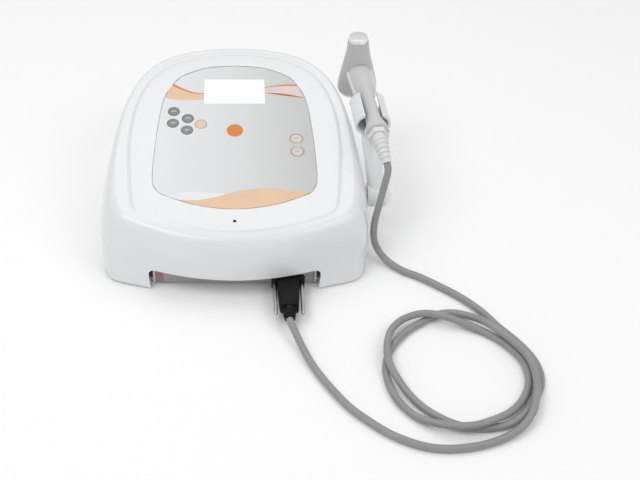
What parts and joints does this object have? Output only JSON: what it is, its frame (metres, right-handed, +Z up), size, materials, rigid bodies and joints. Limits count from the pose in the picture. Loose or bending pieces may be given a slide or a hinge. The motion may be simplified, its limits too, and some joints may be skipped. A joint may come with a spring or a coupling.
{
  "type": "ultrasound therapy device",
  "caption": "Sloped tabletop physiotherapy ultrasound console with a side dock holding a hand-held treatment head, joined by a loosely coiled cable to a plug under the front apron.",
  "frame": {"origin": "on the table under the middle of the console with its dock and treatment head", "axes": "+Z up, +X towards the dock side, the connector apron faces -Y and the mains panel faces +Y"},
  "size_m": [0.3955, 0.4466, 0.1449],
  "materials": {
    "top_cover": "glossy white moulded ABS",
    "base_tray": "fine textured white ABS",
    "recess_liner": "white moulded ABS",
    "panel_label": "printed film",
    "applicator_socket": "plated steel",
    "jack_post_left": "plated steel",
    "jack_post_right": "plated steel",
    "rear_panel": "black textured plastic",
    "mains_inlet": "black plastic",
    "fuse_drawer": "black plastic",
    "power_switch_body": "black plastic",
    "power_switch_rocker": "glossy black plastic",
    "overlay_panel": "screen-printed polyester film, silver-grey gradient",
    "display_window": "backlit white display",
    "display_module": "circuit board with metal bezel",
    "keypad_board": "circuit board",
    "keypad_ribbon": "grey ribbon cable",
    "key_upper_left": "grey printed key",
    "key_lower_left": "grey printed key",
    "key_up": "grey printed key",
    "key_down": "grey printed key",
    "key_enter": "pale peach printed key",
    "key_intensity_up": "key printed with an outline",
    "key_intensity_down": "key printed with an outline",
    "status_led": "unlit dark lamp",
    "main_board": "circuit board",
    "power_board": "circuit board",
    "transformer": "varnished laminations",
    "heat_sink": "extruded aluminium",
    "buzzer": "black plastic",
    "case_screw_front_left": "zinc plated",
    "case_screw_front_right": "zinc plated",
    "case_screw_rear_left": "zinc plated",
    "case_screw_rear_right": "zinc plated",
    "foot_front_left": "dark rubber",
    "foot_front_right": "dark rubber",
    "foot_rear_left": "dark rubber",
    "foot_rear_right": "dark rubber",
    "dock_clip": "glossy white moulded ABS",
    "handle_upper_shell": "satin light grey plastic",
    "handle_lower_shell": "satin pale grey plastic",
    "head_shell": "satin grey plastic",
    "small_treatment_face": "polished aluminium",
    "large_treatment_face": "polished aluminium",
    "small_crystal": "piezo ceramic",
    "large_crystal": "piezo ceramic",
    "gland_nut": "pale grey plastic",
    "strain_boot": "pale grey flexible plastic",
    "applicator_cable": "grey cable sheath",
    "plug_hood": "black plastic",
    "plug_shell": "plated steel",
    "plug_strain_relief": "black flexible plastic",
    "thumbscrew_left": "nickel plated",
    "thumbscrew_right": "nickel plated"
  },
  "bodies": {
    "console": {"top_cover": "top_cover", "base_tray": "base_tray", "recess_liner": "recess_liner", "panel_label": "panel_label", "applicator_socket": "applicator_socket", "jack_post_left": "jack_post_left", "jack_post_right": "jack_post_right", "rear_panel": "rear_panel", "mains_inlet": "mains_inlet", "power_switch_body": "power_switch_body", "overlay_panel": "overlay_panel", "display_window": "display_window", "display_module": "display_module", "keypad_board": "keypad_board", "keypad_ribbon": "keypad_ribbon", "status_led": "status_led", "main_board": "main_board", "power_board": "power_board", "transformer": "transformer", "heat_sink": "heat_sink", "buzzer": "buzzer", "case_screw_front_left": "case_screw_front_left", "case_screw_front_right": "case_screw_front_right", "case_screw_rear_left": "case_screw_rear_left", "case_screw_rear_right": "case_screw_rear_right", "foot_front_left": "foot_front_left", "foot_front_right": "foot_front_right", "foot_rear_left": "foot_rear_left", "foot_rear_right": "foot_rear_right", "dock_clip": "dock_clip", "applicator_cable": "applicator_cable", "plug_hood": "plug_hood", "plug_shell": "plug_shell", "plug_strain_relief": "plug_strain_relief"},
    "handset": {"handle_upper_shell": "handle_upper_shell", "handle_lower_shell": "handle_lower_shell", "head_shell": "head_shell", "small_treatment_face": "small_treatment_face", "large_treatment_face": "large_treatment_face", "small_crystal": "small_crystal", "large_crystal": "large_crystal", "gland_nut": "gland_nut", "strain_boot": "strain_boot"},
    "upper_left_key": {"key_upper_left": "key_upper_left"},
    "lower_left_key": {"key_lower_left": "key_lower_left"},
    "up_key": {"key_up": "key_up"},
    "down_key": {"key_down": "key_down"},
    "enter_key": {"key_enter": "key_enter"},
    "intensity_up_key": {"key_intensity_up": "key_intensity_up"},
    "intensity_down_key": {"key_intensity_down": "key_intensity_down"},
    "rocker": {"power_switch_rocker": "power_switch_rocker"},
    "drawer": {"fuse_drawer": "fuse_drawer"},
    "left_thumbscrew": {"thumbscrew_left": "thumbscrew_left"},
    "right_thumbscrew": {"thumbscrew_right": "thumbscrew_right"}
  },
  "joints": [
    {"name": "handset_lift", "type": "slide", "parent": "console", "child": "handset", "axis": [0, 0, 1], "range_m": [0, 0.08]},
    {"name": "upper_left_key_press", "type": "slide", "parent": "console", "child": "upper_left_key", "axis": [0, 0.2079, -0.9781], "range_m": [0, 0.0005], "stiffness_N_per_m": 1500},
    {"name": "lower_left_key_press", "type": "slide", "parent": "console", "child": "lower_left_key", "axis": [0, 0.2079, -0.9781], "range_m": [0, 0.0005], "stiffness_N_per_m": 1500},
    {"name": "up_key_press", "type": "slide", "parent": "console", "child": "up_key", "axis": [0, 0.2079, -0.9781], "range_m": [0, 0.0005], "stiffness_N_per_m": 1500},
    {"name": "down_key_press", "type": "slide", "parent": "console", "child": "down_key", "axis": [0, 0.2079, -0.9781], "range_m": [0, 0.0005], "stiffness_N_per_m": 1500},
    {"name": "enter_key_press", "type": "slide", "parent": "console", "child": "enter_key", "axis": [0, 0.2079, -0.9781], "range_m": [0, 0.0005], "stiffness_N_per_m": 1500},
    {"name": "intensity_up_key_press", "type": "slide", "parent": "console", "child": "intensity_up_key", "axis": [0, 0.2079, -0.9781], "range_m": [0, 0.0005], "stiffness_N_per_m": 1500},
    {"name": "intensity_down_key_press", "type": "slide", "parent": "console", "child": "intensity_down_key", "axis": [0, 0.2079, -0.9781], "range_m": [0, 0.0005], "stiffness_N_per_m": 1500},
    {"name": "power_rocker", "type": "hinge", "parent": "console", "child": "rocker", "pos_m": [-0.03625, 0.12125, 0.024], "axis": [0, 0, 1], "range_deg": [0, 12]},
    {"name": "fuse_drawer_slide", "type": "slide", "parent": "console", "child": "drawer", "axis": [0, 1, 0], "range_m": [0, 0.012]},
    {"name": "left_thumbscrew_turn", "type": "hinge", "parent": "console", "child": "left_thumbscrew", "pos_m": [0.02495, -0.15, 0.0128], "axis": [0, 1, 0], "continuous": true},
    {"name": "right_thumbscrew_turn", "type": "hinge", "parent": "console", "child": "right_thumbscrew", "pos_m": [0.04995, -0.15, 0.0128], "axis": [0, 1, 0], "continuous": true}
  ]
}
